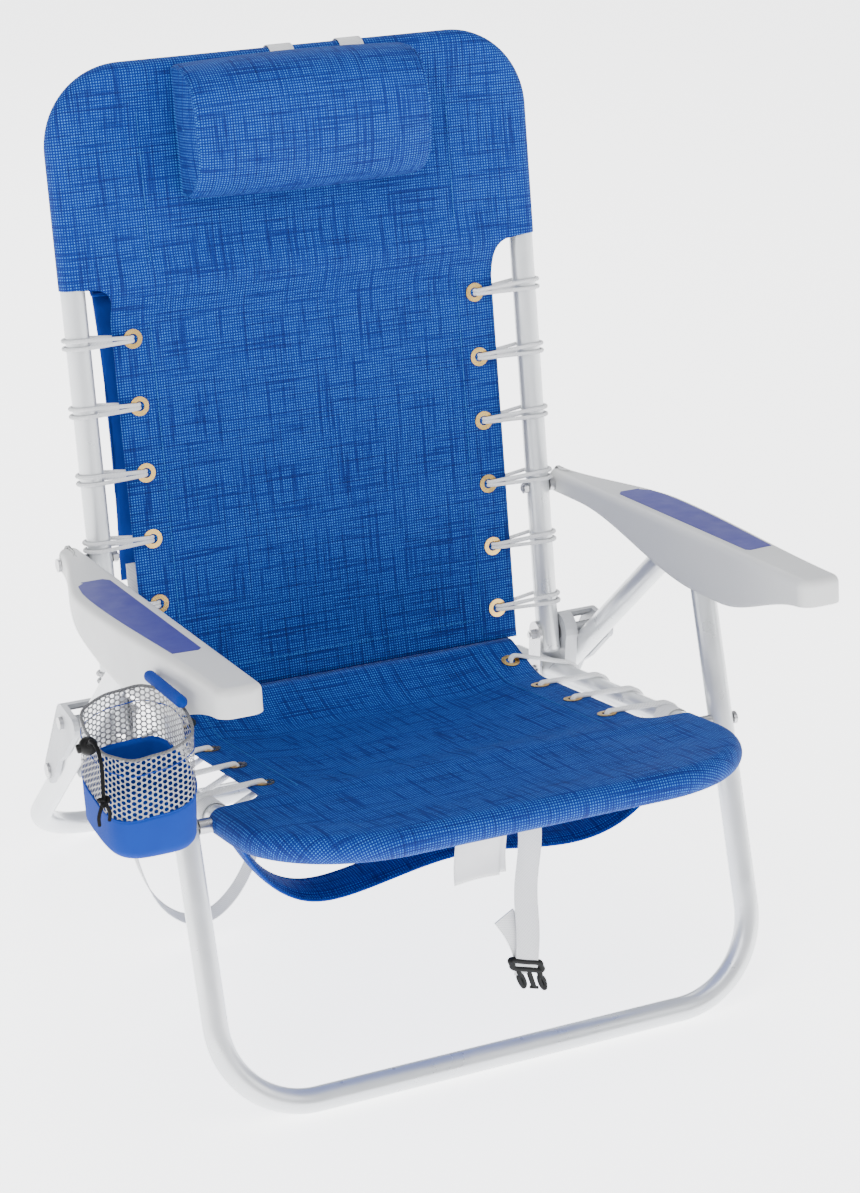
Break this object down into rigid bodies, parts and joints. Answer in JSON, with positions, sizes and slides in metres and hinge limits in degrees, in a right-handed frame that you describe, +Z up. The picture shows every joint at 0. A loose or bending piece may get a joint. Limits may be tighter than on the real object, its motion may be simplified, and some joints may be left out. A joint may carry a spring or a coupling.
{
  "type": "folding beach chair",
  "caption": "Low folding beach chair: U-tube frame, laced blue cloth sling seat and back, head pillow, hollow plastic arms, mesh drink holder, hinges to fold and recline.",
  "frame": {"origin": "on the floor under the middle of the outline", "axes": "+Z up, the sitter faces -Y, X across the chair"},
  "size_m": [0.7505, 0.7316, 0.9049],
  "materials": {
    "tube": "satin silver paint",
    "cap": "matte",
    "zinc": "zinc plated",
    "casting": "satin",
    "arm": "soft matte",
    "inlay": "matte",
    "rack": "matte",
    "sling": "woven",
    "brass": "polished",
    "lace": "braided",
    "pillow": "woven and padded",
    "blue_cloth": "woven",
    "mesh": "open mesh",
    "black_cord": "braided",
    "black_plastic": "matte",
    "webbing": "woven webbing",
    "label": "printed tape left blank"
  },
  "bodies": {
    "seat": {"seat_frame": "tube", "seat_tube_caps": "cap", "hinge_plate_left": "zinc", "hinge_plate_right": "zinc", "hinge_block_left": "casting", "hinge_block_right": "casting", "seat_rivets": "zinc", "rear_leg_rivets": "zinc", "front_leg_bolts": "zinc", "front_leg_spacers": "zinc", "front_leg_nuts": "zinc", "seat_fabric": "sling", "seat_grommets": "brass", "seat_lace_left": "lace", "seat_lace_right": "lace", "shoulder_strap": "blue_cloth", "strap_anchors": "webbing", "strap_loop": "webbing", "care_labels": "label"},
    "back_pivot": {"back_pivot_bolts": "zinc", "back_pivot_nuts": "zinc", "back_pivot_washers": "zinc"},
    "back": {"back_frame": "tube", "back_tube_caps": "cap", "back_fabric": "sling", "back_grommets": "brass", "back_lace_left": "lace", "back_lace_right": "lace", "pillow_straps": "webbing", "storage_pouch": "blue_cloth", "pouch_webbing": "webbing"},
    "front_leg": {"front_leg_frame": "tube", "front_leg_plugs": "cap", "front_lock_pins": "zinc"},
    "rear_leg": {"rear_leg_frame": "tube", "rear_leg_plugs": "cap", "rear_lock_pins": "zinc"},
    "arm_pivot_left": {"arm_bolt_left": "zinc", "arm_nut_left": "zinc"},
    "arm_pivot_right": {"arm_bolt_right": "zinc", "arm_nut_right": "zinc"},
    "left_arm": {"arm_left": "arm", "arm_inlay_left": "inlay", "arm_rack_left": "rack", "drink_hanger": "blue_cloth"},
    "right_arm": {"arm_right": "arm", "arm_inlay_right": "inlay", "arm_rack_right": "rack"},
    "pillow": {"head_pillow": "pillow"},
    "drink_holder": {"drink_base": "blue_cloth", "drink_mesh": "mesh", "drawstring": "black_cord"},
    "cord_lock": {"cord_lock": "black_plastic"},
    "chest_strap": {"buckle_webbing": "webbing", "buckle_male": "black_plastic"}
  },
  "joints": [
    {"name": "fold", "type": "hinge", "parent": "seat", "child": "back_pivot", "pos_m": [0.0385, 0.1323, 0.252], "axis": [1, 0, 0], "range_deg": [0, 80]},
    {"name": "recline", "type": "hinge", "parent": "back_pivot", "child": "back", "pos_m": [0.0385, 0.1323, 0.252], "axis": [1, 0, 0], "range_deg": [-34, 0]},
    {"name": "front_leg_fold", "type": "hinge", "parent": "seat", "child": "front_leg", "pos_m": [0.0385, -0.18266, 0.27535], "axis": [1, 0, 0], "range_deg": [0, 88.1]},
    {"name": "rear_leg_fold", "type": "hinge", "parent": "seat", "child": "rear_leg", "pos_m": [0.0385, 0.18974, 0.171], "axis": [1, 0, 0], "range_deg": [0, 19.6]},
    {"name": "arm_fold_left", "type": "hinge", "parent": "back", "child": "arm_pivot_left", "pos_m": [0.0385, 0.16219, 0.41325], "axis": [1, 0, 0], "range_deg": [-86.9, 0]},
    {"name": "arm_fold_right", "type": "hinge", "parent": "back", "child": "arm_pivot_right", "pos_m": [0.0385, 0.16219, 0.41325], "axis": [1, 0, 0], "range_deg": [-86.9, 0]},
    {"name": "arm_tilt_left", "type": "hinge", "parent": "arm_pivot_left", "child": "left_arm", "pos_m": [0.0385, 0.16219, 0.41325], "axis": [1, 0, 0], "range_deg": [0, 29]},
    {"name": "arm_tilt_right", "type": "hinge", "parent": "arm_pivot_right", "child": "right_arm", "pos_m": [0.0385, 0.16219, 0.41325], "axis": [1, 0, 0], "range_deg": [0, 29]},
    {"name": "pillow_slide", "type": "slide", "parent": "back", "child": "pillow", "axis": [0, 0.1822, 0.9833], "range_m": [-0.05, 0]},
    {"name": "drink_holder_swing", "type": "hinge", "parent": "left_arm", "child": "drink_holder", "pos_m": [-0.2865, -0.2037, 0.452], "axis": [0, -0.9914, 0.1305], "range_deg": [-40, 0]},
    {"name": "cord_lock_slide", "type": "slide", "parent": "drink_holder", "child": "cord_lock", "axis": [-0.1322, -0.793, 0.5947], "range_m": [0, 0.008]},
    {"name": "chest_strap_swing", "type": "hinge", "parent": "seat", "child": "chest_strap", "pos_m": [0.0675, -0.2677, 0.278], "axis": [1, 0, 0], "range_deg": [-25, 20]}
  ],
  "couplings": [
    {"joint": "front_leg_fold", "follows": "fold", "ratio": 1.1},
    {"joint": "rear_leg_fold", "follows": "fold", "ratio": 0.244},
    {"joint": "arm_fold_left", "follows": "fold", "ratio": -1.0854},
    {"joint": "arm_fold_right", "follows": "fold", "ratio": -1.0854},
    {"joint": "arm_tilt_left", "follows": "recline", "ratio": -0.8506},
    {"joint": "arm_tilt_right", "follows": "recline", "ratio": -0.8506}
  ]
}
